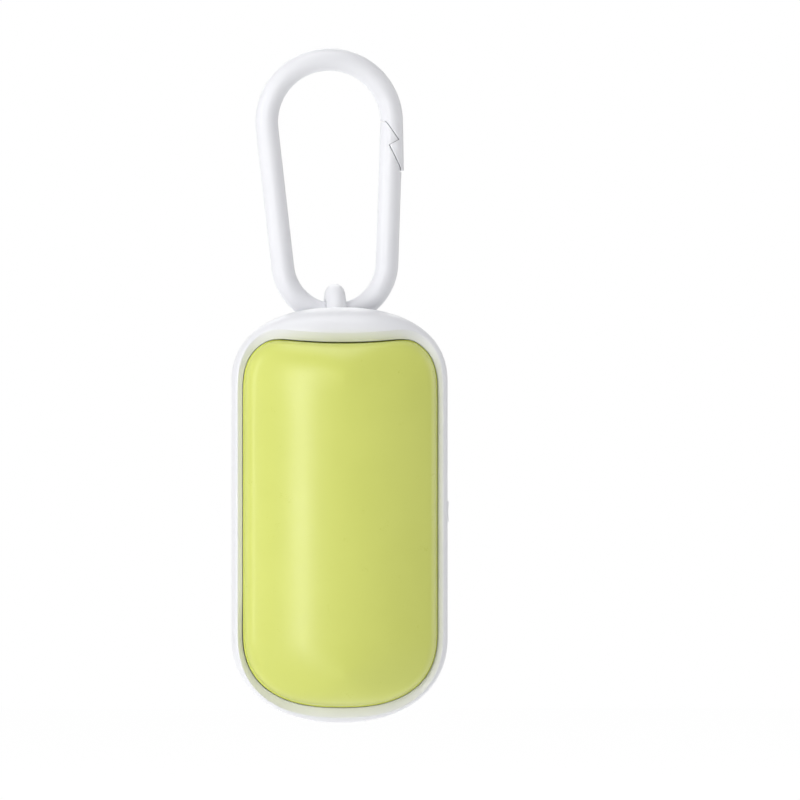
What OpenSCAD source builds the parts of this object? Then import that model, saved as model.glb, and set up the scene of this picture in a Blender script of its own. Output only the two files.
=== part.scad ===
// Dog poop bag dispenser: a pill-shaped white housing with a coloured front cover that swings open
// on a hidden pin, a side button that frees it, a bag roll inside, and a moulded snap ring on top.
// Millimetres. X right, Y to the back, Z up. The row's origin is the crook of the snap ring,
// where the object hangs; the pieces are drawn about the housing and moved there by at_crook().

/* [Housing] */
// Width of the housing over its widest line
body_w = 44; // [40:0.5:56]
// Height of the housing from its foot to its crown
body_h = 84.8; // [82:0.5:110]
// Depth of the housing behind the rim
shell_d = 26; // [25:0.5:32]
// Wall of the housing
wall = 1.75; // [1.2:0.05:2]
// How far the brow over the cover stands forward of the rim
brow = 3.2; // [1.5:0.1:4]
// Width of the sloped edge inside the rim
bevel = 1; // [0.3:0.05:1.3]
// How much wider the rim is on the side of the button
rim_wider = 0.45; // [0:0.05:0.8]

/* [Front cover] */
// Gap between the cover and the rim
cover_gap = 0.35; // [0.25:0.05:0.6]
// How far the cover stands forward of the rim
cover_rise = 8.2; // [7:0.1:10]
// Wall of the cover
cover_wall = 1.6; // [1.2:0.1:2]
// Radius of the cover's edge, centred on the hinge pin
cover_edge_r = 4; // [3:0.1:4.4]
// Depth of the cover's skirt behind the rim's front
skirt = 1.2; // [0.8:0.1:1.6]
// Diameter of the hinge pin
pin_d = 1.5; // [1:0.1:2]
// Running clearance of every pin and spigot
running_gap = 0.05; // [0.03:0.01:0.1]

/* [Bag roll] */
// Diameter of the full roll of bags
roll_d = 29.6; // [22:0.1:30]
// Length of the roll of bags
roll_l = 60; // [50:0.5:62]
// Bore of the cardboard core
core_bore = 12; // [8:0.5:16]
// Wall of the cardboard core
core_wall = 1.2; // [0.8:0.1:2]

/* [Latch] */
// Height of the side button
button_h = 4.4; // [3.6:0.1:6]
// Depth of the side button, front to back
button_l = 5.6; // [5:0.1:6.4]
// How far the side button stands out of the wall
button_proud = 0.4; // [0.2:0.05:0.8]
// Height of the side button's middle above the middle of the housing
button_z = 0.7; // [-5:0.1:5]
// Travel of the side button
button_travel = 0.9; // [0.5:0.1:1]

/* [Outlet] */
// Width of the mouth that the bags are pulled through
mouth_w = 5.6; // [5:0.2:8]
// Height of the mouth
mouth_h = 20; // [16:1:30]

/* [Snap ring] */
// Diameter of the ring's round section
wire_d = 4.7; // [4:0.1:5.2]
// Radius of the ring's upper bow, to the middle of the section
bow_top_r = 12.85; // [11:0.05:18]
// Radius of the ring's lower bow, to the middle of the section
bow_low_r = 10.75; // [9.5:0.05:12]
// Distance between the centres of the two bows
bow_dist = 28.6; // [24:0.2:40]
// Lean of the ring to the left
ring_lean = 2.3; // [0:0.1:4]
// Thickness of the ear that the ring passes through
ear_t = 4; // [3:0.1:5]
// Clearance in the barbed joint of the ring's gate
gate_gap = 0.3; // [0.2:0.05:0.5]

/* [Hidden] */
eps = 0.01;
$fn = 48;

// --- outline of the housing and of the cover, seen from the front ---
steps = 28;                       // points over each rounded end
wide_y = 3;                       // depth of the widest line behind the rim
end_top_z = body_h / 2 - 15.4;    // where the straight sides run into the crown
end_low_z = 17.4 - body_h / 2;    // and into the foot
cover_top_z = end_top_z - 3;      // the same for the cover's outline
cover_low_z = end_low_z + 1.5;
cover_w = body_w / 2 - wall - cover_gap;            // half width of the cover
cover_cut = body_h / 2 - 7.45;                      // its top edge under the brow
cover_foot = 3.45 - body_h / 2;                     // its lowest point
sag_x = 13.5;                     // the top edge dips by sag between its corners
sag = 0.8;
corner = 1.2;                     // softness of the corners where it is cut off
back_inset = 14;                  // how far the flat of the back lies inside the outline
back_p = 2.6;                     // roundness of the back, in plan

// One closed outline: a rounded top end, straight sides and a rounded lower end. The top may be
// cut off under a dipped line. Every outline has the same number of points, so they loft.
function superpoint(w, h, p, t) =
    [w * sign(cos(t)) * pow(abs(cos(t)), 2 / p), h * pow(abs(sin(t)), 2 / p)];
function soft_min(a, b) = let (h = max(0, corner - abs(a - b)) / corner) min(a, b) - h * h * corner / 4;
function outline(w, top_z, top_h, top_p, low_z, low_h, low_p, cut = 999) = concat(
    [for (i = [0:steps]) let (q = superpoint(w, top_h, top_p, 180 * i / steps))
        [q[0], soft_min(top_z + q[1], cut + sag * pow(q[0] / sag_x, 2))]],
    [for (i = [steps:-1:0]) let (q = superpoint(w, low_h, low_p, 180 * i / steps))
        [q[0], low_z - q[1]]]);

// The housing's outer outline and the outlines round the cover, each drawn in by an inset
function outer_outline(a) = outline(body_w / 2 - a, end_top_z, 15.4 - a, 2.3,
                                    end_low_z, 17.4 - a, 2.2);
// (a at the sides, b at the foot, c at the top). u turns the cover's cut-off top into a plain
// rounded one, for the contours over its front.
function cover_outline(a, b, c, u = 0) = let (
    top_z = cover_top_z - 5 * u,
    apex = cover_cut - c + 2.3 * (1 - u))
    outline(cover_w - a, top_z, apex - top_z, 3.15 - 1.05 * u,
            cover_low_z, cover_low_z - cover_foot - b, 2.5 - 0.3 * u, cover_cut - c + 4 * u);
// The rim, and the cover's edge with it, stands further in on the side of the button
function button_side(pts) = [for (q = pts) [q[0] > 0 ? q[0] * (1 - rim_wider / cover_w) : q[0], q[1]]];
function at_depth(pts, y) = [for (q = pts) [q[0], y, q[1]]];

// How far the rim swells forward into the brow at a place x across the top
function swell(q) = q[1] < cover_top_z ? 0 : brow * pow(max(0, 1 - pow(abs(q[0]) / 18, 3)), 2);

// A skin through a list of rings, closed by flat ends
module loft(rings) {
    n = len(rings[0]);
    m = len(rings);
    polyhedron(
        points = [for (r = rings) each r],
        faces = concat(
            [[for (i = [0:n - 1]) i]],
            [for (k = [0:m - 2], i = [0:n - 1]) let (j = (i + 1) % n)
                each [[k * n + i, (k + 1) * n + i, (k + 1) * n + j],
                      [k * n + i, (k + 1) * n + j, k * n + j]]],
            [[for (i = [n - 1:-1:0]) (m - 1) * n + i]]),
        convexity = 6);
}

// --- places that several pieces share ---
pin_x = -(cover_w - cover_edge_r);          // the hinge pin stands at the centre of the cover's edge
roll_y = shell_d - 1.7 - 0.3 - roll_d / 2;  // the roll lies 0.3 off the housing's floor
deck_z = roll_l / 2 + 0.5;                  // inner faces of the two decks at the roll's ends
deck_t = 1.6;
eye_r = pin_d / 2 + 0.75;                   // the decks' eyes round the hinge pin
button_y = 5.5;                             // middle of the side button, behind the rim
dish = 0.3;                                 // depth of the dish in its face
dish_r = (pow(button_h / 2, 2) + pow(dish, 2)) / (2 * dish);
tongue_x = cover_w - 3.5;                   // the cover's tongue, just inside its right edge
tongue_t = 1.2;
tongue_w = 4;
bar_x = [cover_w - 5.6, cover_w - 4.2];     // the button's cross bar, in front of the tongue's nose
bar_y = [-0.6, 0.9];
bite_gap = 0.15;
nose_y = [bar_y[1] + 0.3, bar_y[1] + 1.4];
flange_x = [cover_w - 1.5, cover_w - 0.3];  // the button's flange, behind the wall
flange_y = [nose_y[1] + 0.3, 8.8];
flange_z = button_h / 2 + 0.9;
arm_x = cover_w - rim_wider - 2.1;          // its arms reach the bar inside the cover's wall
cage_y = [nose_y[1] + 0.6, 9];              // the housing's cage round the button
seat_x = [max(roll_d / 2 + 0.3, cover_w - 5), cover_w - 4.1];  // its seat for the spring
ear_y = 15;                                 // plane of the snap ring
wire_r = wire_d / 2;
bow_low_z = body_h / 2 + 9.4;               // centre of the ring's lower bow
ear_hole_r = wire_r + 0.95;
ear_r = ear_hole_r + 3.35;
ear_z = bow_low_z - bow_low_r + wire_r + 0.55 - ear_hole_r;  // the ear hangs on the wire
crook = [-bow_dist * sin(ring_lean), ear_y, bow_low_z + bow_dist * cos(ring_lean) + bow_top_r - wire_r];

module at_crook() translate(-crook) children();

// --- housing: one white moulding ---
// depth and half width of the rounded back, from the widest line to the flat
back_t = acos(pow((body_w / 2 - back_inset) / (body_w / 2), back_p / 2));
function back_ring(t, half_w, depth) = let (
    x = half_w * pow(cos(t), 2 / back_p),
    y = wide_y + (depth - wide_y) * pow(sin(t) / sin(back_t), 2 / back_p)) [half_w - x, y];

module housing_shell() {
    crest = button_side(cover_outline(-cover_gap - bevel, -cover_gap - 1.9 * bevel, -cover_gap - 1.9 * bevel));
    seat = button_side(cover_outline(-cover_gap, -cover_gap, -cover_gap));
    rim = outer_outline(0);
    loft(concat(
        [for (i = [0:6]) let (r = back_ring(back_t * (6 - i) / 6, body_w / 2, shell_d))
            at_depth(outer_outline(r[0]), r[1])],
        [for (a = [22.5:22.5:90]) [for (i = [0:len(rim) - 1]) let (
            q = rim[i] + (crest[i] - rim[i]) * (1 - cos(a)))
            [q[0], wide_y - (wide_y + swell(crest[i])) * sin(a), q[1]]]],
        [[for (q = seat) [q[0], 0.9 - 0.85 * swell(q), q[1]]]],
        [for (i = [0:5]) let (r = back_ring(back_t * i / 5, body_w / 2 - wall, shell_d - 1.7))
            at_depth(cover_outline(r[0] - cover_gap, 0.6 * r[0] - cover_gap, r[0] / 3 - cover_gap), r[1])]));
}

// Plan of the housing along the middle of its wall, at a height above (end 1) or below (end -1)
function wall_plan(z, end) = let (
    beyond = end > 0 ? z - end_top_z : end_low_z + z,
    high = end > 0 ? 15.4 : 17.4,
    p = end > 0 ? 2.3 : 2.2)
    [for (i = [0:12]) let (
        r = back_ring(back_t * i / 12, body_w / 2 - wall / 2, shell_d - 0.85),
        a = r[0] + wall / 2,
        x = (body_w / 2 - a) * pow(max(0, 1 - pow(max(0, beyond / (high - a)), p)), 1 / p))
        if (x > 2) [x, r[1]]];

// A deck closes each end of the roll chamber and carries the hinge pin and a spigot for the core
module deck(end) {
    plan = wall_plan(deck_z + deck_t, end);
    n = len(plan);
    difference() {
        union() {
            linear_extrude(deck_t) difference() {
                polygon(concat(plan, [for (i = [n - 1:-1:0]) [-plan[i][0], plan[i][1]]]));
                translate([pin_x, 0]) circle(cover_edge_r + cover_gap + 0.1);
            }
            translate([pin_x, -eye_r / 2, 0]) cube([cover_edge_r + 3, 1.5 * eye_r, deck_t]);
            translate([pin_x + cover_edge_r + 1, -eye_r, 0])
                cube([2 * -(pin_x + cover_edge_r + 1), wide_y + eye_r + 1, deck_t]);
            translate([pin_x, 0, 0]) cylinder(r = eye_r, h = deck_t);
            translate([0, roll_y, -1.1]) cylinder(d = core_bore - 0.6, h = deck_t);
        }
        translate([pin_x, 0, -1]) cylinder(d = pin_d + 2 * running_gap, h = deck_t + 2);
    }
}

// The ear is a rounded ring, edge on from the front, sunk to its middle in the crown
module ear() {
    translate([0, ear_y, ear_z]) rotate([0, 90, 0]) rotate_extrude($fn = 64) {
        translate([ear_hole_r - 1, -ear_t / 2]) square([ear_r - 2 + 1 - ear_hole_r, ear_t]);
        translate([ear_hole_r, 0]) intersection() {
            translate([0, -ear_t / 2]) square([ear_r - ear_hole_r, ear_t]);
            union() {
                translate([ear_r - ear_hole_r - ear_t / 2, 0]) circle(d = ear_t);
                translate([0, -ear_t / 2]) square([ear_r - ear_hole_r - ear_t / 2, ear_t]);
            }
        }
    }
}

// Cage that guides the side button: two webs, and a seat for the spring between them
module latch_cage() translate([0, 0, button_z]) {
    for (s = [-1, 1]) translate([seat_x[0], cage_y[0], s > 0 ? flange_z + 0.2 : -flange_z - 1.2])
        cube([body_w / 2 - wall / 2 - seat_x[0], cage_y[1] - cage_y[0], 1]);
    translate([seat_x[0], cage_y[0], -flange_z - 1.2])
        cube([seat_x[1] - seat_x[0], cage_y[1] - cage_y[0], 2 * flange_z + 2.4]);
}

module slot(w, h, t) {
    linear_extrude(t) {
        square([w, h - w], center = true);
        for (s = [-1, 1]) translate([0, s * (h - w) / 2]) circle(d = w);
    }
}
module on_back(y) translate([0, y, 0]) rotate([-90, 0, 0]) children();
module on_side(x) translate([x, button_y, button_z]) rotate([0, 90, 0]) children();

module housing() {
    color("white") at_crook() difference() {
        union() {
            difference() {
                housing_shell();
                // valley under the ring's lower bow
                translate([-body_w / 2, ear_y, ear_z + 1.1]) rotate([0, 90, 0])
                    cylinder(r = ear_hole_r + 1.1, h = body_w, $fn = 64);
            }
            intersection() {
                ear();
                translate([-10, 0, ear_z - ear_hole_r - 2]) cube([20, 40, 40]);
            }
            for (s = [-1, 1]) scale([1, 1, s]) translate([0, 0, deck_z]) deck(s);
            latch_cage();
        }
        // window of the side button
        on_side(cover_w - 1) slot(button_h + 0.3, button_l + 0.3, 5);
        // hole of the ear
        translate([-ear_t, ear_y, ear_z]) rotate([0, 90, 0])
            cylinder(r = ear_hole_r, h = 2 * ear_t, $fn = 64);
        // outlet: a through slot in a shallow seat for the soft lip
        on_back(shell_d - 4) slot(mouth_w + 2.4, mouth_h + 2.4, 10);
        on_back(shell_d - 0.7) slot(mouth_w + 6, mouth_h + 6, 10);
    }
}

// --- front cover ---
arc_r = (pow(cover_w - cover_edge_r, 2) + pow(cover_rise, 2) - pow(cover_edge_r, 2))
    / (2 * (cover_rise - cover_edge_r));
arc_y = arc_r - cover_rise;                       // centre of the cover's wide front arc
edge_t = atan2(cover_w - cover_edge_r, arc_y);    // where the edge runs into the wide arc

// Insets and heights up the cover's section: round the edge, then over the wide arc. The ends
// of the cover round off over end_b, faster than the sides.
end_b = 7.5;
function end_inset(h, rise, b) = b * (1 - sqrt(max(0, 1 - pow(h / rise, 2))));
function cover_section(t) = concat(
    [for (i = [0:5]) let (a = (90 - edge_t) * i / 5, h = (cover_edge_r - t) * sin(a))
        [cover_edge_r - (cover_edge_r - t) * cos(a), h,
         t + end_inset(h, cover_rise - t, end_b - t)]],
    [for (i = [1:6]) let (b = edge_t * (6 - i) / 6, h = (arc_r - t) * cos(b) - arc_y)
        [min(cover_w - (arc_r - t) * sin(b), cover_w - 0.8), h,
         t + end_inset(h, cover_rise - t, end_b - t)]]);

function contour(s) = at_depth(button_side(
    cover_outline(s[0], s[2], s[2], pow(s[1] / cover_rise, 2))), -s[1]);

module cover_shell() {
    outside = cover_section(0);
    inside = cover_section(cover_wall);
    loft(concat(
        [for (i = [len(inside) - 1:-1:0]) contour(inside[i])],
        [at_depth(button_side(cover_outline(cover_wall, cover_wall, cover_wall)), skirt)],
        [at_depth(button_side(cover_outline(0, 0, 0)), skirt)],
        [for (s = outside) contour(s)]));
}

knuckle_l = 8;
module front_cover() {
    color("yellowgreen") at_crook() difference() {
        union() {
            cover_shell();
            for (s = [-1, 1]) scale([1, 1, s]) translate([pin_x, 0, deck_z - 0.3 - knuckle_l])
                cylinder(r = cover_edge_r - cover_wall + 0.1, h = knuckle_l);
            // tongue and nose that the side button holds
            translate([tongue_x, -cover_edge_r + cover_wall / 2, button_z - tongue_w / 2])
                cube([tongue_t, cover_edge_r - cover_wall / 2 + nose_y[1], tongue_w]);
            translate([bar_x[1] + bite_gap, nose_y[0], button_z - tongue_w / 2])
                cube([tongue_x - bar_x[1] - bite_gap + eps, nose_y[1] - nose_y[0], tongue_w]);
        }
        translate([pin_x, 0, -roll_l]) cylinder(d = pin_d + 2 * running_gap, h = 2 * roll_l);
        // room for the decks' eyes
        for (s = [-1, 1]) scale([1, 1, s]) translate([pin_x, 0, deck_z - 0.3])
            cylinder(r = eye_r + 0.35, h = deck_t + 0.6);
    }
}

module hinge_pin() {
    color("silver") at_crook() translate([pin_x, 0, -deck_z - deck_t])
        cylinder(d = pin_d, h = 2 * (deck_z + deck_t));
}

// --- latch: a side button with a yoke round the cover's tongue ---
module latch_button() {
    color("white") at_crook() {
        difference() {
            on_side(flange_x[1] - eps) slot(button_h, button_l, body_w / 2 + button_proud - flange_x[1]);
            // dish for the finger
            translate([body_w / 2 + button_proud - dish + dish_r, 0, button_z]) rotate([-90, 0, 0])
                cylinder(r = dish_r, h = 20, $fn = 128);
        }
        translate([flange_x[0], flange_y[0], button_z - flange_z])
            cube([flange_x[1] - flange_x[0], flange_y[1] - flange_y[0], 2 * flange_z]);
        for (z = [button_z - flange_z, button_z + flange_z - 0.7]) translate([0, 0, z]) linear_extrude(0.7)
            polygon([[flange_x[0] + 0.4, nose_y[1] + 1.1], [seat_x[1] + button_travel + 0.3, nose_y[1] + 1.1],
                     [seat_x[1] + button_travel + 0.3, nose_y[1] + 0.2], [bar_x[0], bar_y[1]],
                     [bar_x[0], bar_y[0]], [arm_x, bar_y[0]], [arm_x, skirt + 0.3],
                     [flange_x[0] + 0.4, flange_y[0]]]);
        translate([bar_x[0], bar_y[0], button_z - flange_z])
            cube([bar_x[1] - bar_x[0], bar_y[1] - bar_y[0], 2 * flange_z]);
    }
}

// A small compression spring between the cage's seat and the button's flange
spring_d = 3;
spring_wire = 0.4;
spring_turns = 2.5;
spring_sides = 6;
spring_l = flange_x[0] - seat_x[1] - 0.04;
function spring_point(a) = let (u = a / (360 * spring_turns)) [
    spring_wire / 2 + u * (spring_l - spring_wire),
    (spring_d - spring_wire) / 2 * cos(a), (spring_d - spring_wire) / 2 * sin(a)];
module latch_spring() {
    path = [for (a = [0:45:360 * spring_turns]) spring_point(a)];
    echo(spring_gap = (spring_l - spring_wire) / spring_turns - spring_wire);
    color("silver") at_crook() translate([seat_x[1] + 0.02, button_y, button_z]) loft([for (i = [0:len(path) - 1]) let (
        a = 45 * i, c = [0, cos(a), sin(a)])
        [for (k = [0:spring_sides - 1]) let (b = 360 * k / spring_sides)
            path[i] + spring_wire / 2 * (cos(b) * c + sin(b) * [1, 0, 0])]]);
}

// --- outlet lip ---
module outlet_grommet() {
    color("gainsboro") at_crook() difference() {
        union() {
            on_back(shell_d - 1.7) slot(mouth_w + 2.3, mouth_h + 2.3, 1.7);
            on_back(shell_d - 0.7) slot(mouth_w + 5.9, mouth_h + 5.9, 0.7);
        }
        on_back(shell_d - 4) slot(mouth_w, mouth_h, 10);
    }
}

// --- bag roll on its cardboard core ---
module bag_roll() {
    color("lightgray") at_crook() translate([0, roll_y, -roll_l / 2]) difference() {
        cylinder(d = roll_d, h = roll_l, $fn = 64);
        translate([0, 0, -1]) cylinder(d = core_bore + 2 * core_wall, h = roll_l + 2);
    }
}
module roll_core() {
    color("tan") at_crook() translate([0, roll_y, -roll_l / 2]) difference() {
        cylinder(d = core_bore + 2 * core_wall, h = roll_l);
        translate([0, 0, -1]) cylinder(d = core_bore, h = roll_l + 2);
    }
}

// --- snap ring: two bows and two straight legs; the right leg is the sprung gate ---
taper = asin((bow_top_r - bow_low_r) / bow_dist);   // each leg's lean from the ring's middle line
leg_l = bow_dist * cos(taper);

module in_ring() translate([0, ear_y, bow_low_z]) rotate([0, -ring_lean, 0]) children();

// The barbed joint, seen from the front: down the slope, back under the barb, and down again
barb = [[11.5, 28.4], [14.06, 24.5], [12.03, 23.5], [14.2, 18.7], [14.2, 18.1]];

// Stations along the ring's middle line: place, and the direction away from the ring's middle.
// They run from the gate's foot round the lower bow, up the left leg and over the upper bow.
ring_sides = 24;
nose_l = bow_dist - barb[4][1];
nose_lean = 1.2;
function station(r, z, a) = [[r * cos(a), 0, z + r * sin(a)], [cos(a), 0, sin(a)]];
ring_line = concat(
    [for (i = [0:20]) station(bow_low_r, 0, -taper - (180 - 2 * taper) * i / 20)],
    [for (i = [0:24]) station(bow_top_r, bow_dist, 180 + taper - (180 + taper) * i / 24)],
    [[[bow_top_r - nose_l * sin(nose_lean), 0, bow_dist - nose_l], [1, 0, -sin(nose_lean)]]]);
module wire(line) loft([for (s = line) [for (k = [0:ring_sides - 1])
    let (b = 360 * k / ring_sides) s[0] + wire_r * (cos(b) * s[1] + sin(b) * [0, 1, 0])]]);

// Everything on the gate's side of the barbed joint, seen from the front
module gate_side(shift, drop) rotate([90, 0, 0]) translate([0, 0, -wire_d])
    linear_extrude(2 * wire_d) translate([shift, 0])
        polygon(concat([[0, barb[0][1] - drop], [barb[0][0] + drop * 0.65, barb[0][1] - drop]],
                       [for (i = [1:3]) barb[i]],
                       [[barb[4][0], barb[4][1] - drop], [30, barb[4][1] - drop], [30, -5], [0, -5]]));
gate_pivot = [bow_low_r * cos(taper), 0, -bow_low_r * sin(taper)];

module snap_ring() {
    color("white") at_crook() in_ring() difference() {
        wire(ring_line);
        intersection() {
            gate_side(0, 0);
            translate([0, -wire_d, 10]) cube([30, 2 * wire_d, 30]);
        }
        translate(gate_pivot) sphere(r = wire_r + 0.12);
    }
}
function circle_at(x, z, r) = [for (k = [0:ring_sides - 1]) let (b = 360 * k / ring_sides)
    [x + r * cos(b), r * sin(b), z]];
module ring_gate() {
    color("white") at_crook() in_ring() intersection() {
        rotate([0, taper, 0]) loft(concat(
            [for (a = [-78:13:0]) circle_at(bow_low_r, wire_r * sin(a), wire_r * cos(a))],
            [circle_at(bow_low_r, leg_l + 2, wire_r)]));
        gate_side(-gate_gap, 0.25);
    }
}

housing();
front_cover();
hinge_pin();
latch_button();
latch_spring();
outlet_grommet();
bag_roll();
roll_core();
snap_ring();
ring_gate();
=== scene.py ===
import math

import bmesh
import bpy
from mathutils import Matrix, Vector


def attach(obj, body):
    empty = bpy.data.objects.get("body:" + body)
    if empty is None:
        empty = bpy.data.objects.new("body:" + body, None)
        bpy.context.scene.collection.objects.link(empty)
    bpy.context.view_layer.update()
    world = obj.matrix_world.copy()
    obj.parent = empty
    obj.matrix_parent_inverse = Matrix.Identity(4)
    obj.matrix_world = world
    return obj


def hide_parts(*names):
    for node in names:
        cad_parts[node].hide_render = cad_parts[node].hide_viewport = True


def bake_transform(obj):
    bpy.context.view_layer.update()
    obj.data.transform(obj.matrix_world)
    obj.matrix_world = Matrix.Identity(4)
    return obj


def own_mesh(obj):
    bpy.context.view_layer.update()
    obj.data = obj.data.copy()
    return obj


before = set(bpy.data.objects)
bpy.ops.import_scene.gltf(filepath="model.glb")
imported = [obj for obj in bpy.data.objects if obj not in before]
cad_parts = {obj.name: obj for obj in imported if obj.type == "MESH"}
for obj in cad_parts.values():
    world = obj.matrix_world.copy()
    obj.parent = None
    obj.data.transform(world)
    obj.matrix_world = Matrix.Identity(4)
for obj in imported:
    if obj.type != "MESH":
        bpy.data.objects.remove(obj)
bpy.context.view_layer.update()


# The room: a pale floor well under the hanging dispenser, white all round to the lens, a tall
# narrow soft box a little to the left of the lens, a wide one further left, one overhead, and weak
# ones on either side and high at the back.
class Wire:
    """A socket in a tree of nodes: arithmetic on it adds the Math nodes."""

    def __init__(self, tree, socket):
        self.tree, self.socket = tree, socket

    def node(self, kind, settings=None, **inputs):
        """Adds a node: settings first, then the value or wire of each socket, by name or in_N."""
        made = self.tree.nodes.new(kind)
        for name, value in (settings or {}).items():
            setattr(made, name, value)
        for name, value in inputs.items():
            key = int(name[3:]) if name.startswith("in_") else name.replace("_", " ")
            if isinstance(value, Wire):
                self.tree.links.new(value.socket, made.inputs[key])
            else:
                made.inputs[key].default_value = value
        return made

    def out(self, made, name=0):
        return Wire(self.tree, made.outputs[name])

    def maths(self, operation, a, b=0.0):
        return self.out(self.node("ShaderNodeMath", {"operation": operation}, in_0=a, in_1=b))

    def __add__(self, other):
        return self.maths("ADD", self, other)

    def __sub__(self, other):
        return self.maths("SUBTRACT", self, other)

    def __rsub__(self, other):
        return self.maths("SUBTRACT", other, self)

    def __mul__(self, other):
        return self.maths("MULTIPLY", self, other)

    __rmul__ = __mul__

    def step(self, low, high):
        """0 under low and 1 over high, with a smooth change between"""
        return self.out(self.node("ShaderNodeMapRange", {"interpolation_type": "SMOOTHSTEP"},
                                  Value=self, From_Min=low, From_Max=high))

    def mix(self, a, b):
        """Colour a where this is 0, colour b where it is 1"""
        mixed = self.node("ShaderNodeMix", {"data_type": "RGBA"}, in_0=self, in_6=a, in_7=b)
        return self.out(mixed, 2)


def new_material(name):
    material = bpy.data.materials.new(name)
    material.use_nodes = True
    material.node_tree.nodes.clear()
    return material, Wire(material.node_tree, None)


def white_to_lens(pen):
    """1 for what the lens sees straight, in a gloss or through glass, 0 for the light itself"""
    path = pen.node("ShaderNodeLightPath")
    seen = pen.maths("MAXIMUM", pen.out(path, "Is Camera Ray"), pen.out(path, "Is Glossy Ray"))
    return pen.maths("MAXIMUM", seen, pen.out(path, "Is Transmission Ray"))


body_drop, floor_z = 0.0909, -0.215   # the housing's middle and the floor under the ring's crook
floor_light, floor_to_lens = 0.25, 0.6
sky_light, sky_to_lens = 0.17, 0.83   # what the lens sees on top of it makes it white
bpy.ops.mesh.primitive_plane_add(size=8, location=(0, 0, floor_z))
floor = bpy.context.object
floor.name = "floor"
floor_paint, pen = new_material("floor_paint")
seen = white_to_lens(pen)
pale = pen.node("ShaderNodeBsdfDiffuse", Color=(0.82, 0.82, 0.82, 1))
lift = pen.node("ShaderNodeEmission", Color=(1, 1, 1, 1),
                Strength=seen * floor_to_lens + floor_light)
both = pen.node("ShaderNodeAddShader", in_0=pen.out(pale), in_1=pen.out(lift))
pen.node("ShaderNodeOutputMaterial", Surface=pen.out(both))
floor.data.materials.append(floor_paint)

world = bpy.data.worlds.new("studio")
bpy.context.scene.world = world
world.use_nodes = True
world.node_tree.nodes.clear()
pen = Wire(world.node_tree, None)
sky = pen.node("ShaderNodeBackground", Color=(1, 1, 1, 1),
               Strength=white_to_lens(pen) * sky_to_lens + sky_light)
pen.node("ShaderNodeOutputWorld", Surface=pen.out(sky))


def soft_box(name, azimuth, height, reach, wide, tall, power):
    """A soft box aimed at the housing. Azimuth 0 is the front and 90 the right; its height over the
    housing, its reach and its own sides are in metres, its power in watts."""
    aim = Vector((0, 0, -body_drop))
    turn = math.radians(azimuth)
    data = bpy.data.lights.new(name, "AREA")
    data.shape, data.size, data.size_y, data.energy = "RECTANGLE", wide, tall, power
    lamp = bpy.data.objects.new(name, data)
    lamp.location = aim + Vector((reach * math.sin(turn), -reach * math.cos(turn), height))
    lamp.rotation_euler = (aim - lamp.location).to_track_quat("-Z", "Y").to_euler()
    bpy.context.scene.collection.objects.link(lamp)


for lamp_values in (("strip_box", -23.5, 0.05, 0.9, 0.13, 0.76, 3.0),
                    ("left_box", -66, 0.10, 1.0, 0.36, 1.5, 5.0),
                    ("top_box", -12, 1.20, 0.35, 0.8, 0.8, 5.2),
                    ("left_panel", -112, 0.10, 1.0, 0.6, 1.4, 0.8),
                    ("right_panel", 104, 0.10, 1.0, 0.5, 1.4, 2.2),
                    ("back_box", 180, 0.90, 1.0, 0.8, 0.8, 2.4)):
    soft_box(*lamp_values)

# A long lens a little left of the front: the housing stands left of the picture's middle
lens = bpy.data.cameras.new("lens")
camera = bpy.data.objects.new("camera", lens)
bpy.context.scene.collection.objects.link(camera)
bpy.context.scene.camera = camera
camera_reach = 3.0
camera_azimuth = math.radians(-5.5)
picture_side = 0.1633       # what 800 pixels take in at the housing
middle = Vector((0.0134, -0.012, -0.0674))
away = Vector((math.sin(camera_azimuth), -math.cos(camera_azimuth), 0))
camera.location = middle + camera_reach * away
camera.rotation_euler = (-away).to_track_quat("-Z", "Y").to_euler()
lens.sensor_width = 36
lens.lens = lens.sensor_width * camera_reach / picture_side
lens.clip_start, lens.clip_end = 0.05, 20
bpy.context.scene.view_settings.view_transform = "Standard"


# Housing: one injection-moulded shell of white ABS with a fine satin texture. The back shell, the
# rim round the cover, the brow over it and the ear on top are one moulding; two decks close the
# chamber of the roll inside. Drawn about the housing's middle in millimetres, as the CAD is.
crook = Vector((-1.14777, 15.0, 90.87696))   # the ring's crook seen from the housing's middle
body_w, body_h, shell_d = 44.0, 84.8, 26.0
wall, floor_wall, bevel, cover_gap, rim_wider = 1.75, 1.7, 1.0, 0.35, 0.45
steps = 84                                   # points over each rounded end
end_top_h, end_top_p = 15.4, 2.3             # height and power of the housing's rounded ends
end_low_h, end_low_p = 17.4, 2.2
wide_y, back_inset, back_p = 3.0, 14.0, 2.6  # the widest line, and the round from it to the back
end_top_z, end_low_z = body_h / 2 - end_top_h, end_low_h - body_h / 2
cover_top_z, cover_low_z = end_top_z - 3, end_low_z + 1.5
cover_w = body_w / 2 - wall - cover_gap
cover_cut, cover_foot = body_h / 2 - 7.45, 3.45 - body_h / 2
cover_top_p, cover_foot_p, arch = 3.15, 2.5, 2.3   # the arch is what the cut takes off the top
sag_x, sag, corner = 13.5, 0.8, 1.2          # the cut sags to the sides and has round corners
brow, brow_reach = 3.2, 18.0                 # how far the brow stands forward, and to each side
seat_d, swing_d = 0.5, 0.4                   # the bevel's depth, and how much deeper it goes
swing_x, swing_z = -5.0, -16.0               # left of and under here


def superpoint(w, h, p, t):
    """A point of a superellipse of power p; with p = 2 it is an ellipse"""
    c, s = math.cos(t), math.sin(t)
    return math.copysign(w * abs(c) ** (2 / p), c), h * abs(s) ** (2 / p)


def soft_min(a, b):
    """The lesser of two values, rounded where they cross"""
    h = max(0.0, corner - abs(a - b)) / corner
    return min(a, b) - h * h * corner / 4


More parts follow.
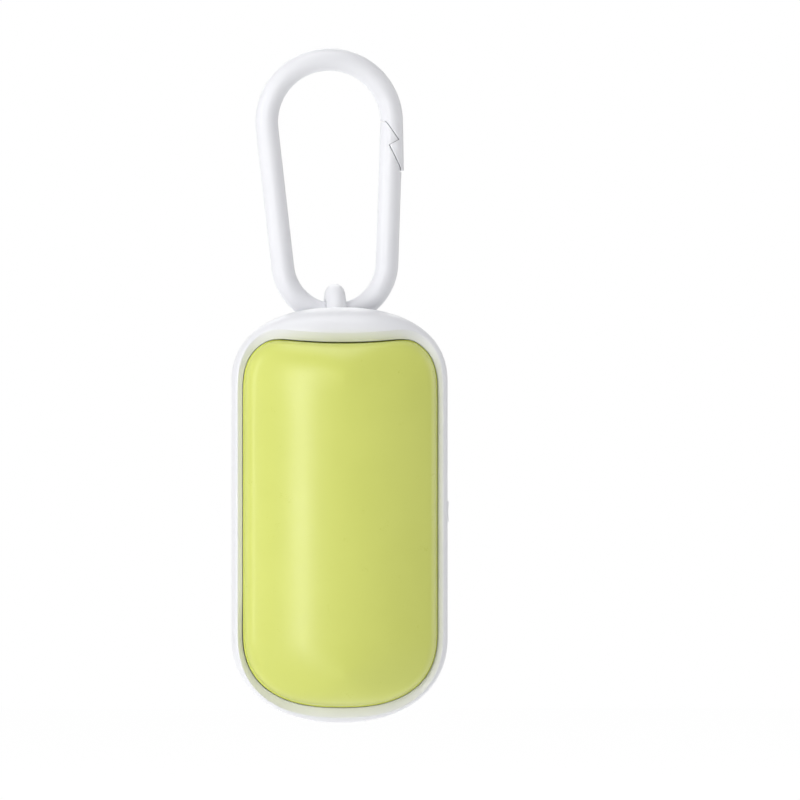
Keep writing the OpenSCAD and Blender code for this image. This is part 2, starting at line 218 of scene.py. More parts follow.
def outline(w, top_z, top_h, top_p, low_z, low_h, low_p, cut=math.inf):
    """A rounded top end, straight sides and a rounded foot, seen from the front"""
    points, sides = [], 40
    for i in range(steps + 1):
        x, z = superpoint(w, top_h, top_p, math.pi * i / steps)
        points.append((x, soft_min(top_z + z, cut + sag * (x / sag_x) ** 2)))
    points += [(-w, top_z + (low_z - top_z) * i / sides) for i in range(1, sides)]
    for i in range(steps, -1, -1):
        x, z = superpoint(w, low_h, low_p, math.pi * i / steps)
        points.append((x, low_z - z))
    return points + [(w, low_z + (top_z - low_z) * i / sides) for i in range(1, sides)]


def outer_outline(a):
    """The housing's outline, drawn in by a"""
    return outline(body_w / 2 - a, end_top_z, end_top_h - a, end_top_p,
                   end_low_z, end_low_h - a, end_low_p)


def cover_outline(a, b, c, u=0.0):
    """Drawn in by a at the sides, b at the foot and c at the top; u rounds the cut-off top"""
    top_z = cover_top_z - 5 * u
    apex = cover_cut - c + arch * (1 - u)
    return outline(cover_w - a, top_z, apex - top_z, cover_top_p - 1.05 * u,
                   cover_low_z, cover_low_z - cover_foot - b, cover_foot_p - 0.3 * u,
                   cover_cut - c + 4 * u)


def button_side(points):
    """The rim, and the cover's edge with it, stands further in on the side of the button"""
    return [(x * (1 - rim_wider / cover_w) if x > 0 else x, z) for x, z in points]


def swell(x, z):
    """How far the rim swells forward into the brow at a place across the top"""
    return 0.0 if z < cover_top_z else brow * max(0.0, 1 - (abs(x) / brow_reach) ** 3) ** 2


def seat_depth(x, z):
    """How deep the rim's bevel goes: more at the foot's hinge side, where the cover's edge turns"""
    low = min(1.0, max(0.0, (swing_z - z) / 8))
    left = min(1.0, max(0.0, (swing_x - x) / 6))
    return seat_d + swing_d * low * left - 0.8 * swell(x, z)


def between(a, b, share):
    return a + (b - a) * share


def at_depth(points, y):
    return [(x, y, z) for x, z in points]


def tidy_faces(piece, sharp=35):
    """Outward faces, smooth but for edges sharper than the given angle"""
    skin, merge = bmesh.new(), 2e-7
    skin.from_mesh(piece.data)
    bmesh.ops.remove_doubles(skin, verts=skin.verts, dist=merge)
    bmesh.ops.dissolve_degenerate(skin, edges=skin.edges, dist=merge)
    bmesh.ops.recalc_face_normals(skin, faces=skin.faces)
    for face in skin.faces:
        face.smooth = True
    for edge in skin.edges:
        edge.smooth = len(edge.link_faces) == 2 and edge.calc_face_angle(0) < math.radians(sharp)
    skin.to_mesh(piece.data)
    skin.free()


def loft(name, rings, closed=False):
    """A skin through rings of points in the housing's millimetres, capped or closed on itself"""
    count = len(rings[0])
    verts = [(Vector(p) - crook) / 1000 for ring in rings for p in ring]
    faces = []
    for k in range(len(rings) if closed else len(rings) - 1):
        a, b = k * count, (k + 1) % len(rings) * count
        faces += [(a + i, b + i, b + (i + 1) % count, a + (i + 1) % count) for i in range(count)]
    if not closed:
        faces.append(tuple(range(count)))
        faces.append(tuple(range((len(rings) - 1) * count, len(rings) * count))[::-1])
    mesh = bpy.data.meshes.new(name)
    mesh.from_pydata(verts, [], faces)
    piece = bpy.data.objects.new(name, mesh)
    bpy.context.scene.collection.objects.link(piece)
    tidy_faces(piece)
    return piece


def block(low, high, edge=0.2):
    """A moulded block between two corners, with rounded edges"""
    plan = ((low[0], low[1]), (high[0], low[1]), (high[0], high[1]), (low[0], high[1]))
    piece = loft("block", [[(x, y, z) for x, y in plan] for z in (low[2], high[2])])
    skin = bmesh.new()
    skin.from_mesh(piece.data)
    bmesh.ops.bevel(skin, geom=list(skin.edges), offset=edge / 1000, segments=3, profile=0.5,
                    affect="EDGES", clamp_overlap=True)
    skin.to_mesh(piece.data)
    skin.free()
    tidy_faces(piece, 50)
    return piece


def turned(axis, profile, place, count=64, name="turned", closed=False):
    """A body of revolution about X, Y or Z through a place: radius and distance along the axis"""
    rings = []
    for r, along in profile:
        ring = []
        for k in range(count):
            a = 2 * math.pi * k / count
            c, s = r * math.cos(a), r * math.sin(a)
            spot = {"X": (along, c, s), "Y": (c, along, s), "Z": (c, s, along)}[axis]
            ring.append(tuple(a + b for a, b in zip(place, spot)))
        rings.append(ring)
    return loft(name, rings, closed)


def cylinder(axis, r, low, high, place, count=64):
    return turned(axis, [(r, low), (r, high)], place, count)


def bake(piece, sharp=35):
    """Makes what the piece's modifiers show its mesh, and removes them"""
    seen = piece.evaluated_get(bpy.context.evaluated_depsgraph_get())
    made = bpy.data.meshes.new_from_object(seen)
    piece.modifiers.clear()
    piece.data = made
    tidy_faces(piece, sharp)


def combine(piece, other, operation):
    """Joins or cuts a piece with another one, which is used up"""
    work = piece.modifiers.new("combine", "BOOLEAN")
    work.operation, work.solver, work.object = operation, "EXACT", other
    bake(piece)
    bpy.data.objects.remove(other)


def stadium(w, h, count=20):
    """A slot's outline: straight sides and round ends"""
    r = w / 2
    arc = [math.pi * i / count for i in range(count + 1)]
    return ([(r * math.cos(a), h / 2 - r + r * math.sin(a)) for a in arc]
            + [(-r * math.cos(a), r - h / 2 - r * math.sin(a)) for a in arc])


def noise(pen, where, scale, detail):
    return pen.out(pen.node("ShaderNodeTexNoise", Vector=where, Scale=scale, Detail=detail))


def surface(pen, colour, rough, relief, strength, height, metallic=0.0):
    """The shader of a piece: colour, roughness, and a relief as a bump of some height in metres"""
    bump = pen.node("ShaderNodeBump", Strength=strength, Distance=height, Height=relief)
    shader = pen.node("ShaderNodeBsdfPrincipled", Base_Color=colour, Roughness=rough,
                      Metallic=metallic, Normal=pen.out(bump))
    pen.node("ShaderNodeOutputMaterial", Surface=pen.out(shader))


def plastic(name, colour, deep, rough, seam_y=None):
    """Moulded ABS: its colour with slow mottling, a fine spark-eroded grain in the gloss, and the
    hair line where the halves of the mould met"""
    material, pen = new_material(name)
    spot = pen.out(pen.node("ShaderNodeTexCoord"), "Object")
    cloud, grain = noise(pen, spot, 70.0, 2.0), noise(pen, spot, 4200.0, 1.0)
    smear = noise(pen, spot, 260.0, 3.0)
    relief = grain
    if seam_y is not None:
        depth = pen.out(pen.node("ShaderNodeSeparateXYZ", Vector=spot), "Y")
        off = pen.maths("ABSOLUTE", depth - (seam_y - crook.y) / 1000)
        relief = grain - 3 * (1 - off.step(0.00004, 0.00011))
    surface(pen, cloud.step(0.3, 0.7).mix((*colour, 1), (*deep, 1)),
            smear * 0.10 + grain * 0.06 + (rough - 0.08), relief, 0.35, 0.00001)
    return material


crest_out = -cover_gap - 1.9 * bevel
crest = button_side(cover_outline(-cover_gap - bevel, crest_out, crest_out))
seat = button_side(cover_outline(-cover_gap, -cover_gap, -cover_gap))
rim = outer_outline(0)
full_turn = math.acos(((body_w / 2 - back_inset) / (body_w / 2)) ** (back_p / 2))


def back_ring(u, half_w, depth):
    """Inset and depth of the rounded back, from its widest line (u = 0) to its flat (u = 1)"""
    x = half_w * math.cos(u * full_turn) ** (2 / back_p)
    y = wide_y + (depth - wide_y) * (math.sin(u * full_turn) / math.sin(full_turn)) ** (2 / back_p)
    return half_w - x, y


# from the flat of the back out to the widest line, round the side to the rim's crest, down the
# bevel, a step along the seat, and back over the inside to its floor
rings = []
for i in range(31):
    inset, y = back_ring(((30 - i) / 30) ** 1.3, body_w / 2, shell_d)
    rings.append(at_depth(outer_outline(inset), y))
for i in range(1, 17):
    a = math.pi / 2 * i / 16
    share = 1 - math.cos(a)
    rings.append([(between(p[0], q[0], share), wide_y - (wide_y + swell(*q)) * math.sin(a),
                   between(p[1], q[1], share)) for p, q in zip(rim, crest)])
for i in range(1, 7):
    share = min(1.0, (i - 0.6) / 5)
    rings.append([(between(p[0], q[0], share), between(-swell(*p), seat_depth(*q), share),
                   between(p[1], q[1], share)) for p, q in zip(crest, seat)])
rings.append([(x, 1.2 - 0.85 * swell(x, z), z) for x, z in seat])
for i in range(20):
    inset, y = back_ring(i / 19, body_w / 2 - wall, shell_d - floor_wall)
    rings.append(at_depth(cover_outline(inset - cover_gap, 0.6 * inset - cover_gap,
                                        inset / 3 - cover_gap), y))
housing = loft("housing_shell", rings)

# the ear and the valley under the ring's lower bow
wire_r, bow_top_r, bow_low_r, bow_dist = 2.35, 12.85, 10.75, 28.6
ear_y, ear_t, bow_low_z = 15.0, 4.0, body_h / 2 + 9.4
ear_hole_r = wire_r + 0.95
ear_r = ear_hole_r + 3.35
ear_z = bow_low_z - bow_low_r + wire_r + 0.55 - ear_hole_r
valley_r = ear_hole_r + 1.25                 # 0.15 wider than in the CAD, clear of the ring's swing
ear_round, hole_round = 2.0, 0.45
combine(housing, cylinder("X", valley_r, -23, 23, (0, ear_y, ear_z + 1.1), 96), "DIFFERENCE")
section = [(ear_r - ear_round + ear_round * math.cos(a), ear_round * math.sin(a))
           for a in [math.pi * (i / 14 - 0.5) for i in range(15)]]
for side, turn in ((1, range(6, -1, -1)), (-1, range(7))):
    for a in [math.pi / 2 * i / 6 for i in turn]:
        section.append((ear_hole_r + hole_round - hole_round * math.cos(a),
                        side * (ear_t / 2 - hole_round + hole_round * math.sin(a))))
ear = loft("ear", [[(x, ear_y + r * math.sin(b), ear_z + r * math.cos(b)) for r, x in section]
                   for b in [math.pi * 2 * k / 96 for k in range(96)]], closed=True)
trim = block((-10, 0, ear_z - ear_hole_r - 2), (10, 40, ear_z + 20), 0.01)
combine(ear, trim, "INTERSECT")
combine(housing, ear, "UNION")

# window of the side button, and the outlet: a slot through the floor and the seat of its lip
button_y, button_z, button_h, button_l = 5.5, 0.7, 4.4, 5.6
mouth_w, mouth_h = 5.6, 20.0


def button_outline(x, more):
    """The button's outline at a place to the right, wider and longer by some more"""
    return [(x, button_y + b, button_z + a) for a, b in stadium(button_h + more, button_l + more)]


def level_block(x, y, half, edge=0.15):
    """A block over two spans, as high over the button's middle as under it"""
    return block((x[0], y[0], button_z - half), (x[1], y[1], button_z + half), edge)


window = loft("window", [button_outline(x, 0.3) for x in (cover_w - 1, 25)])
combine(housing, window, "DIFFERENCE")
for extra, y in ((2.4, shell_d - 4), (6, shell_d - 0.7)):
    combine(housing, loft("outlet", [at_depth(stadium(mouth_w + extra, mouth_h + extra), d)
                                     for d in (y, 30)]), "DIFFERENCE")

# decks with the eyes of the hinge pin and the spigots of the core, and the cage round the button
cover_edge_r, pin_d, roll_d, roll_l, core_bore = 4.0, 1.5, 29.6, 60.0, 12.0
pin_x, deck_z, deck_t = -(cover_w - cover_edge_r), roll_l / 2 + 0.5, 1.6
hinge, notch_r, bore_r = (pin_x, 0, 0), cover_edge_r + 0.45, pin_d / 2 + 0.05
roll_y = shell_d - 2.0 - roll_d / 2
eye_r, spigot_r = pin_d / 2 + 0.75, (core_bore - 0.6) / 2
for end, high, p in ((1, end_top_h, end_top_p), (-1, end_low_h, end_low_p)):
    beyond = deck_z + deck_t - (end_top_z if end > 0 else -end_low_z)
    plan = []
    for i in range(25):
        inset, y = back_ring(i / 24, body_w / 2 - wall / 2, shell_d - floor_wall / 2)
        a = inset + wall / 2
        x = (body_w / 2 - a) * max(0.0, 1 - (max(0.0, beyond) / (high - a)) ** p) ** (1 / p)
        if x > 2:
            plan.append((x, y))
    plan += [(-x, y) for x, y in reversed(plan)]
    low, top = sorted((end * deck_z, end * (deck_z + deck_t)))
    deck = loft("deck", [[(x, y, z) for x, y in plan] for z in (low, top)])
    combine(deck, cylinder("Z", notch_r, -60, 60, hinge), "DIFFERENCE")
    spigot = [(spigot_r, end * (deck_z + 0.5)), (spigot_r, end * (deck_z - 0.7)),
              (spigot_r - 0.4, end * (deck_z - 1.1))]
    for part in (block((pin_x, -eye_r / 2, low), (pin_x + 7, eye_r, top), 0.15),
                 block((pin_x + 5, -eye_r, low), (-pin_x - 5, wide_y + eye_r + 1, top), 0.15),
                 cylinder("Z", eye_r, low, top, hinge, 48),
                 turned("Z", spigot, (0, roll_y, 0))):
        combine(deck, part, "UNION")
    combine(deck, cylinder("Z", bore_r, -60, 60, hinge, 40), "DIFFERENCE")
    combine(housing, deck, "UNION")
nose_y = (1.2, 2.3)
flange_x, flange_y = (cover_w - 1.5, cover_w - 0.3), (nose_y[1] + 0.3, 8.8)
flange_z = button_h / 2 + 0.9
seat_x = (max(roll_d / 2 + 0.3, cover_w - 5), cover_w - 4.1)
cage_y, cage_out = (nose_y[1] + 0.6, 9.0), body_w / 2 - wall / 2
cage = level_block(seat_x, cage_y, flange_z + 1.2, 0.12)
for z in (button_z + flange_z + 0.2, button_z - flange_z - 1.2):
    shelf = block((seat_x[0], cage_y[0], z), (cage_out, cage_y[1], z + 1), 0.12)
    combine(cage, shelf, "UNION")
combine(housing, cage, "UNION")
white = (0.87, 0.875, 0.905), (0.85, 0.855, 0.89), 0.32   # colour, mottling, roughness
white_plastic = plastic("white_plastic", *white, wide_y)
housing.data.materials.append(white_plastic)
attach(housing, "case")
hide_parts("housing")


# Front cover: a lime shell of the same plastic, double curved, whose edge is rounded about the
# hinge pin. It is moulded with its two hinge knuckles, the tongue that the latch holds, and a thin
# lip round its edge that narrows the gap to the rim.
cover_rise, cover_wall, skirt, end_b = 8.2, 1.6, 1.2, 7.5
edge, crown = 0.15, 0.15                     # broken edges, half the flat at the crown
lip, lip_low, lip_high, lip_round = 0.23, 0.15, 0.5, 0.05
span = cover_w - cover_edge_r
arc_r = (span ** 2 + cover_rise ** 2 - cover_edge_r ** 2) / (2 * (cover_rise - cover_edge_r))
arc_y = arc_r - cover_rise
edge_t = math.atan2(span, arc_y)


def cover_section(t):
    """Insets, heights and end insets up the cover's section, t inside its skin: round the edge,
    then over the wide arc"""
    stations = []
    for i in range(17):
        a = (math.pi / 2 - edge_t) * i / 16
        stations.append((cover_edge_r - (cover_edge_r - t) * math.cos(a),
                         (cover_edge_r - t) * math.sin(a)))
    for i in range(1, 33):
        a = edge_t * (32 - i) / 32
        stations.append((min(cover_w - (arc_r - t) * math.sin(a), cover_w - crown),
                         (arc_r - t) * math.cos(a) - arc_y))
    rise, run = cover_rise - t, end_b - t
    return [(inset, h, t + run * (1 - math.sqrt(max(0.0, 1 - (h / rise) ** 2))))
            for inset, h in stations]


def contour(inset, y, ends):
    """The cover's outline at a depth, drawn in by an inset at the sides and another at the ends"""
    rounding = max(0.0, -y / cover_rise) ** 2
    return at_depth(button_side(cover_outline(inset, ends, ends, rounding)), y)


def rod_profile(r, low, top, edge):
    """A round bar with broken ends, for turned()"""
    return [(r - edge, low), (r, low + edge), (r, top - edge), (r - edge, top)]


# over the inside, round the foot of the edge with its lip, and over the outside
edge_line = [(cover_wall, skirt - edge), (cover_wall - edge, skirt), (edge, skirt),
             (0, skirt - edge), (0, lip_high), (lip_round - lip, lip_high - lip_round),
             (-lip, lip_high - 2 * lip_round), (-lip, lip_low + lip_round),
             (lip_round - lip, lip_low), (0, lip_low)]
rings = [contour(inset, -h, ends) for inset, h, ends in reversed(cover_section(cover_wall))]
rings += [contour(inset, y, inset) for inset, y in edge_line]
rings += [contour(inset, -h, ends) for inset, h, ends in cover_section(0)]
cover = loft("cover_shell", rings)
knuckle_l, knuckle_r, deck_gap = 8.0, cover_edge_r - cover_wall + 0.1, 0.3
tongue_x, tongue_half, bite_gap = cover_w - 3.5, 2, 0.15
bar_x, bar_y = (cover_w - 5.6, cover_w - 4.2), (-0.6, 0.9)
for end in (-1, 1):
    foot, top = sorted((end * (deck_z - deck_gap - knuckle_l), end * (deck_z - deck_gap)))
    combine(cover, turned("Z", rod_profile(knuckle_r, foot, top, edge), hinge), "UNION")
combine(cover, level_block((tongue_x, tongue_x + 1.2), (cover_wall / 2 - cover_edge_r, nose_y[1]),
                           tongue_half, 0.2), "UNION")
combine(cover, level_block((bar_x[1] + bite_gap, tongue_x + 0.3), nose_y, tongue_half), "UNION")
for end in (-1, 1):
    combine(cover, cylinder("Z", eye_r + 0.35, end * (deck_z - deck_gap),
                            end * (deck_z + deck_t + deck_gap), hinge, 48), "DIFFERENCE")
bore_end = deck_z + deck_t + 0.2
combine(cover, cylinder("Z", bore_r, -bore_end, bore_end, hinge, 40), "DIFFERENCE")
lime_plastic = plastic("lime_plastic", (0.69, 0.74, 0.165), (0.67, 0.72, 0.155), 0.30)
cover.data.materials.append(lime_plastic)
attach(cover, "cover")
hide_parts("front_cover")


# Hinge pin: a drawn steel pin with broken ends, pushed through the eyes of both decks and the
# knuckles of the cover. The drawing leaves fine lines along it.
def steel_wire(name):
    """Bright steel with fine lines along the piece's own height"""
    material, pen = new_material(name)
    spot = pen.out(pen.node("ShaderNodeTexCoord"), "Object")
    along = pen.out(pen.node("ShaderNodeMapping", Vector=spot, Scale=(9000.0, 9000.0, 120.0)))
    lines = noise(pen, along, 1.0, 2.0)
    surface(pen, lines.mix((0.56, 0.57, 0.58, 1), (0.66, 0.66, 0.67, 1)),
            lines * 0.18 + 0.2, lines, 0.25, 0.00001, metallic=1.0)
    return material


pin_end = deck_z + deck_t
pin = turned("Z", rod_profile(pin_d / 2, -pin_end, pin_end, 0.2), hinge, 40)
pin.name = "hinge_pin_steel"
steel = steel_wire("drawn_steel")
pin.data.materials.append(steel)
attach(pin, "case")
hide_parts("hinge_pin")


# Side button: a white moulding whose dished face fills its window in the wall. A flange behind the
# wall keeps it in, and a yoke of two arms carries the bar that holds the cover's tongue.
button_proud, dish, face_round = 0.4, 0.3, 0.25
face_x, dish_r = body_w / 2 + button_proud, ((button_h / 2) ** 2 + dish ** 2) / (2 * dish)
face_line = [(flange_x[1] - 0.4, 0.0)]
for a in [math.pi / 2 * i / 6 for i in range(7)]:
    face_line.append((face_x - face_round + face_round * math.sin(a),
                      face_round - face_round * math.cos(a)))
button = loft("side_button", [button_outline(x, -2 * inset) for x, inset in face_line])
combine(button, cylinder("Y", dish_r, -5, 20, (face_x - dish + dish_r, 0, button_z), 256),
        "DIFFERENCE")
combine(button, level_block(flange_x, flange_y, flange_z), "UNION")
travel, arm_t = 0.9, 0.7
arm_x, press_x = cover_w - rim_wider - 2.1, seat_x[1] + travel + 0.3
arm = [(flange_x[0] + 0.4, nose_y[1] + 1.1), (press_x, nose_y[1] + 1.1), (press_x, nose_y[1] + 0.2),
       (bar_x[0], bar_y[1]), (bar_x[0], bar_y[0]), (arm_x, bar_y[0]), (arm_x, skirt + 0.3),
       (flange_x[0] + 0.4, flange_y[0])]
for z in (button_z - flange_z, button_z + flange_z - arm_t):
    arm_block = loft("arm", [[(x, y, d) for x, y in arm] for d in (z, z + arm_t)])
    combine(button, arm_block, "UNION")
combine(button, level_block(bar_x, bar_y, flange_z), "UNION")
button.data.materials.append(white_plastic)
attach(button, "button")
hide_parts("latch_button")


# Latch spring: a small compression spring of steel wire between the cage's seat and the button.
# A wire is swept along a path by the nodes, as the ring's round section is further down.
def new_tree(name, line, numbers, shape):
    """A node tree that takes a line, some numbers and a material, and gives a shape"""
    tree = bpy.data.node_groups.new(name, "GeometryNodeTree")
    sockets = [(line, "INPUT", "Geometry")] + [(title, "INPUT", "Float") for title in numbers]
    sockets += [("Finish", "INPUT", "Material"), (shape, "OUTPUT", "Geometry")]
    for title, way, kind in sockets:
        tree.interface.new_socket(title, in_out=way, socket_type="NodeSocket" + kind)
    pen = Wire(tree, None)
    return tree, pen, pen.node("NodeGroupInput")


def finish_tree(pen, given, made, shape):
    """Makes the instances real, gives them their material and hands the shape out"""
    real = pen.node("GeometryNodeRealizeInstances", Geometry=pen.out(made))
    done = pen.node("GeometryNodeSetMaterial", Geometry=pen.out(real),
                    Material=pen.out(given, "Finish"))
    pen.node("NodeGroupOutput", **{shape: pen.out(done)})


def sweep_nodes(name, sides):
    """Nodes that sweep a round section along a path of edges and cap its ends"""
    tree, pen, given = new_tree(name, "Path", ["Section Radius"], "Swept")
    line = pen.node("GeometryNodeMeshToCurve", Mesh=pen.out(given, "Path"))
    section = pen.node("GeometryNodeCurvePrimitiveCircle", Resolution=sides,
                       Radius=pen.out(given, "Section Radius"))
    swept = pen.node("GeometryNodeCurveToMesh", Curve=pen.out(line),
                     Profile_Curve=pen.out(section), Fill_Caps=True)
    finish_tree(pen, given, swept, "Swept")
    return tree


def grown(name, points, tree, **values):
    """A piece that nodes grow on a line of points, in the housing's millimetres"""
    mesh = bpy.data.meshes.new(name)
    mesh.from_pydata([(Vector(p) - crook) / 1000 for p in points],
                     [(i, i + 1) for i in range(len(points) - 1)], [])
    piece = bpy.data.objects.new(name, mesh)
    bpy.context.scene.collection.objects.link(piece)
    grow = piece.modifiers.new("grow", "NODES")
    grow.node_group = tree
    for socket in tree.interface.items_tree:
        title = socket.name.replace(" ", "_")
        if title in values:
            grow[socket.identifier] = values[title]
    bake(piece)
    return piece


spring_d, spring_wire, spring_turns, spring_gap = 3.0, 0.4, 2.5, 0.02
spring_l = flange_x[0] - seat_x[1] - 2 * spring_gap
coil_r, coil_start = (spring_d - spring_wire) / 2, seat_x[1] + spring_gap + spring_wire / 2
coil = []
for i in range(101):
    a = 2 * math.pi * spring_turns * i / 100
    coil.append((coil_start + (spring_l - spring_wire) * i / 100,
                 button_y + coil_r * math.cos(a), button_z + coil_r * math.sin(a)))
spring = grown("spring_coil", coil, sweep_nodes("sweep_spring", 12),
               Section_Radius=spring_wire / 2000, Finish=steel)
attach(spring, "case")
(spring_l - 0.9) / spring_l
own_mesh(spring)
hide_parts("latch_spring")


# Outlet lip: a soft grey elastomer lip pressed into its seat in the back. Its rounded mouth guides
# the bags as they are torn off.
lip_line = [(0.0, 0.1 - floor_wall), (0.0, -0.9), (0.12, -0.35), (0.5, -0.05), (0.9, 0.0),
            (2.35, 0.0), (2.75, -0.1), (2.93, -0.35), (2.93, -0.68), (1.15, -0.7), (1.13, -1.55),
            (1.0, -floor_wall), (0.1, -floor_wall)]
lip_piece = loft("mouth_lip", [at_depth(stadium(mouth_w + 2 * a, mouth_h + 2 * a, 28), shell_d + y)
                               for a, y in lip_line], closed=True)
elastomer, pen = new_material("grey_elastomer")
spot = pen.out(pen.node("ShaderNodeTexCoord"), "Object")
grain, dust = noise(pen, spot, 2600.0, 2.0), noise(pen, spot, 400.0, 4.0)
surface(pen, dust.step(0.45, 0.75).mix((0.42, 0.43, 0.44, 1), (0.47, 0.48, 0.49, 1)),
        dust * 0.2 + 0.5, grain, 0.4, 0.00001)
lip_piece.data.materials.append(elastomer)
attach(lip_piece, "case")
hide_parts("outlet_grommet")


# Bag roll: thin film bags wound on a core, one long band in many turns. The nodes sweep the band's
# flat section along the winding, and its turns stand a little uneven at the ends of the roll.
film_in, turns, turn_steps, film_gap = core_bore / 2 + 1.2, 22, 72, 0.05
pitch = (roll_d / 2 - 0.03 - film_in) / (turns + 0.5)
tree, pen, given = new_tree("wind_film", "Winding",
                            ["Band Width", "Band Thickness", "Unevenness"], "Film")
line = pen.node("GeometryNodeMeshToCurve", Mesh=pen.out(given, "Winding"))
flat = pen.node("GeometryNodeCurvePrimitiveQuadrilateral",
                Width=pen.out(given, "Band Thickness"), Height=pen.out(given, "Band Width"))
soft = pen.node("GeometryNodeFilletCurve", {"mode": "POLY"}, Curve=pen.out(flat), Count=2,
                Radius=pen.out(given, "Band Thickness") * 0.45)
film = pen.node("GeometryNodeCurveToMesh", Curve=pen.out(line), Profile_Curve=pen.out(soft),
                Fill_Caps=True)
spot = pen.node("GeometryNodeInputPosition")
stray = pen.node("ShaderNodeTexNoise", {"noise_dimensions": "4D"}, Vector=pen.out(spot), W=3.7,
                 Scale=190.0)
shift = (pen.out(stray) - 0.5) * pen.out(given, "Unevenness")
uneven = pen.node("GeometryNodeSetPosition", Geometry=pen.out(film),
                  Offset=pen.out(pen.node("ShaderNodeCombineXYZ", Z=shift)))
finish_tree(pen, given, uneven, "Film")
bag_film, pen = new_material("bag_film")
spot = pen.out(pen.node("ShaderNodeTexCoord"), "Object")
around = pen.out(pen.node("ShaderNodeMapping", Vector=spot, Scale=(260.0, 260.0, 900.0)))
crease, fold = noise(pen, around, 1.0, 3.0), noise(pen, spot, 140.0, 2.0)
surface(pen, crease.step(0.3, 0.7).mix((0.58, 0.60, 0.57, 1), (0.68, 0.70, 0.66, 1)),
        crease * 0.25 + 0.28, crease + fold, 0.5, 0.00008)
winding = []
for i in range(turns * turn_steps + 1):
    a = 2 * math.pi * i / turn_steps
    r = film_in + pitch * (0.5 + a / (2 * math.pi))
    winding.append((r * math.sin(a), roll_y + r * math.cos(a), 0.0))
roll = grown("film_winding", winding, tree, Band_Width=(roll_l - 0.9) / 1000, Unevenness=0.0016,
             Band_Thickness=(pitch - film_gap) / 1000, Finish=bag_film)
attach(roll, "roll")
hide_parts("bag_roll")


# Core: a spirally wound cardboard tube, cut clean at both ends, that turns on the decks' spigots.
# The seam of its outer ply runs round it in a helix.
core_in, core_end, cut = core_bore / 2, roll_l / 2, 0.1
tube = [(core_in + cut, -core_end), (film_in - cut, -core_end), (film_in, cut - core_end),
        (film_in, core_end - cut), (film_in - cut, core_end), (core_in + cut, core_end),
        (core_in, core_end - cut), (core_in, cut - core_end)]
core = turned("Z", tube, (0, roll_y, 0), 72, "core_tube", closed=True)
cardboard, pen = new_material("grey_cardboard")
spot = pen.out(pen.node("ShaderNodeTexCoord"), "Object")
centred = pen.out(pen.node("ShaderNodeMapping", Vector=spot,
                           Location=(crook.x / 1000, (crook.y - roll_y) / 1000, 0)))
parts = pen.node("ShaderNodeSeparateXYZ", Vector=centred)
angle = pen.maths("ARCTAN2", pen.out(parts, "Y"), pen.out(parts, "X")) * (0.5 / math.pi)
ply = pen.maths("FRACT", angle + pen.out(parts, "Z") * 40.0)
seam = 1 - ply.step(0.0, 0.05) + ply.step(0.96, 1.0)
fibres = pen.out(pen.node("ShaderNodeMapping", Vector=spot, Scale=(900.0, 900.0, 2600.0)))
strands = noise(pen, fibres, 1.0, 3.0)
surface(pen, (strands - seam * 0.35).step(0.1, 0.8).mix((0.20, 0.14, 0.085, 1),
                                                        (0.43, 0.33, 0.22, 1)),
        strands * 0.15 + 0.75, strands - seam, 0.5, 0.00004)
core.data.materials.append(cardboard)
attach(core, "roll")
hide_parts("roll_core")


# Snap ring: one white moulding of round section, two bows and two straight legs. The right leg is
# the gate: it bends at its root in the lower bow, and a barb hooks its tip into the upper bow.
# It is drawn as the ring proper and the gate with half the lower bow, which meet inside the ear.
ring_lean, nose_lean = math.radians(2.3), math.radians(1.2)
taper = math.asin((bow_top_r - bow_low_r) / bow_dist)
leg_l, gate_gap, joint_round = bow_dist * math.cos(taper), 0.17, 0.00025
ring_r = (wire_r - 0.025) / 1000             # a hair thinner than in the CAD
barb = [(11.5, 28.4), (14.06, 24.5), (12.03, 23.5), (14.2, 18.7), (14.2, 18.1)]
nose_l = bow_dist - barb[4][1]


def in_ring(x, z, y=0.0):
    """From the ring's own plane, with the lower bow's centre as origin, to the housing's place"""
    c, s = math.cos(ring_lean), math.sin(ring_lean)
    return x * c - z * s, ear_y + y, bow_low_z + x * s + z * c


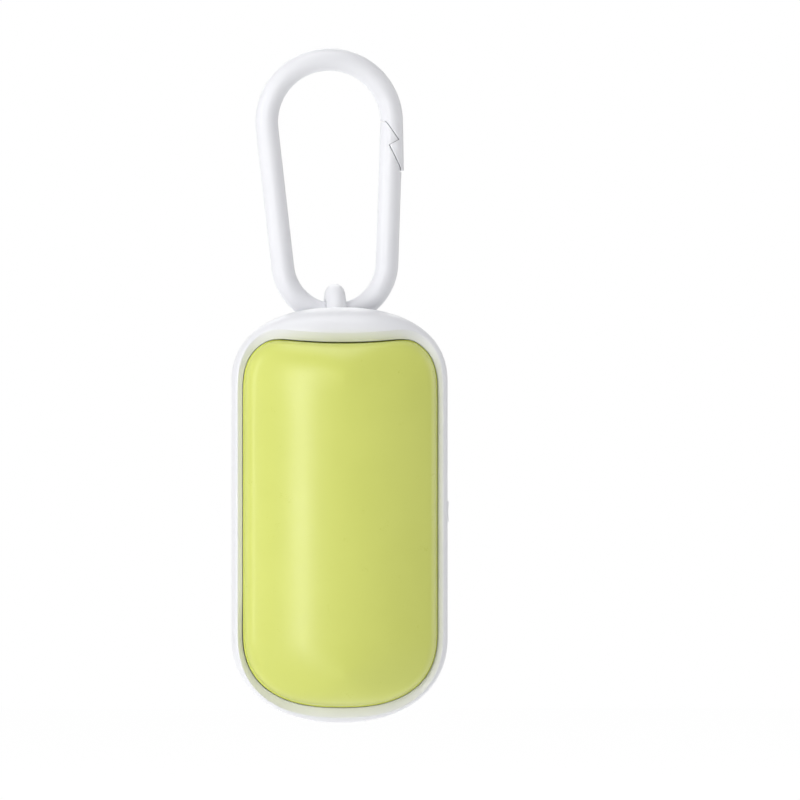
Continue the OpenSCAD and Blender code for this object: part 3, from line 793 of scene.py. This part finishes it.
def bow(r, z, start, end, count):
    """Points round a bow, from one angle to another"""
    return [in_ring(r * math.cos(a), z + r * math.sin(a)) for a in
            [start + (end - start) * i / count for i in range(count + 1)]]


def slab(points):
    """A block right through the ring, seen from the front as the outline of the points"""
    return loft("slab", [[in_ring(x, z, y) for x, z in points] for y in (-5, 5)])


def soften(piece, width):
    """Rounds the edges that a cut has left"""
    work = piece.modifiers.new("soften", "BEVEL")
    work.width, work.segments = width, 3
    work.limit_method, work.angle_limit = "ANGLE", math.radians(40)
    bake(piece, 60)


ring_plastic = plastic("ring_plastic", *white, ear_y)
ring_sweep = sweep_nodes("sweep_ring", 56)
half = math.pi / 2
line = bow(bow_low_r, 0, -half, taper - math.pi, 40)
line += bow(bow_top_r, bow_dist, math.pi + taper, 0, 96)
line.append(in_ring(bow_top_r - nose_l * math.sin(nose_lean), bow_dist - nose_l))
ring = grown("ring_bows", line, ring_sweep, Section_Radius=ring_r, Finish=ring_plastic)
combine(ring, slab([(0, barb[0][1])] + barb + [(30, barb[4][1]), (30, 10), (0, 10)]), "DIFFERENCE")
soften(ring, joint_round)
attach(ring, "ring")
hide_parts("snap_ring")

line = bow(bow_low_r, 0, -half, -taper, 40)
for i in range(1, 9):
    up = (leg_l + 2) * i / 8
    line.append(in_ring(bow_low_r * math.cos(taper) + up * math.sin(taper),
                        up * math.cos(taper) - bow_low_r * math.sin(taper)))
gate = grown("ring_gate_leg", line, ring_sweep, Section_Radius=ring_r, Finish=ring_plastic)
drop = 0.25
side = [(-1, barb[0][1] - drop), (barb[0][0] + drop * 0.65, barb[0][1] - drop)] + barb[1:4]
side += [(barb[4][0], barb[4][1] - drop), (30, barb[4][1] - drop), (30, -30), (-1, -30)]
combine(gate, slab([(x - gate_gap, z) for x, z in side]), "INTERSECT")
soften(gate, joint_round)
root = [(Vector(in_ring(bow_low_r * math.cos(a), bow_low_r * math.sin(a))) - crook) / 1000
        for a in (math.radians(-18), math.radians(14))]
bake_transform(gate)
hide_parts("ring_gate")
